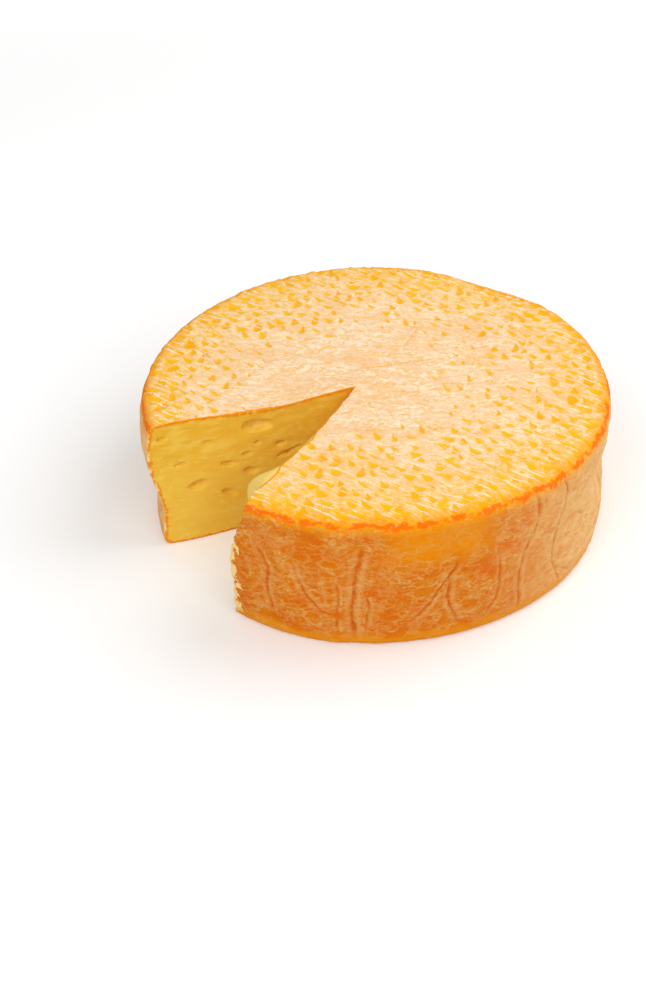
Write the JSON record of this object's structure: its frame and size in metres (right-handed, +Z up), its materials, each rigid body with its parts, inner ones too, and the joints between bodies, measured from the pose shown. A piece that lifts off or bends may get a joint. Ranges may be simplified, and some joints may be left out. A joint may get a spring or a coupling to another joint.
{
  "type": "washed-rind soft cheese wheel with a wedge cut out",
  "caption": "Low round soft cheese with a creased golden-orange rind; a wedge is cut out of it to the middle, showing pale yellow paste with small openings.",
  "frame": {"origin": "middle of the wheel's box, on the surface that it rests on", "axes": "+Z up along the wheel's axis; the cut-out wedge opens towards -X and -Y"},
  "size_m": [0.185, 0.1844, 0.0587],
  "materials": {
    "rind": "soft satin rind with a whitish bloom, over pale yellow paste"
  },
  "bodies": {
    "root": {"cheese_wheel": "rind"}
  },
  "joints": []
}
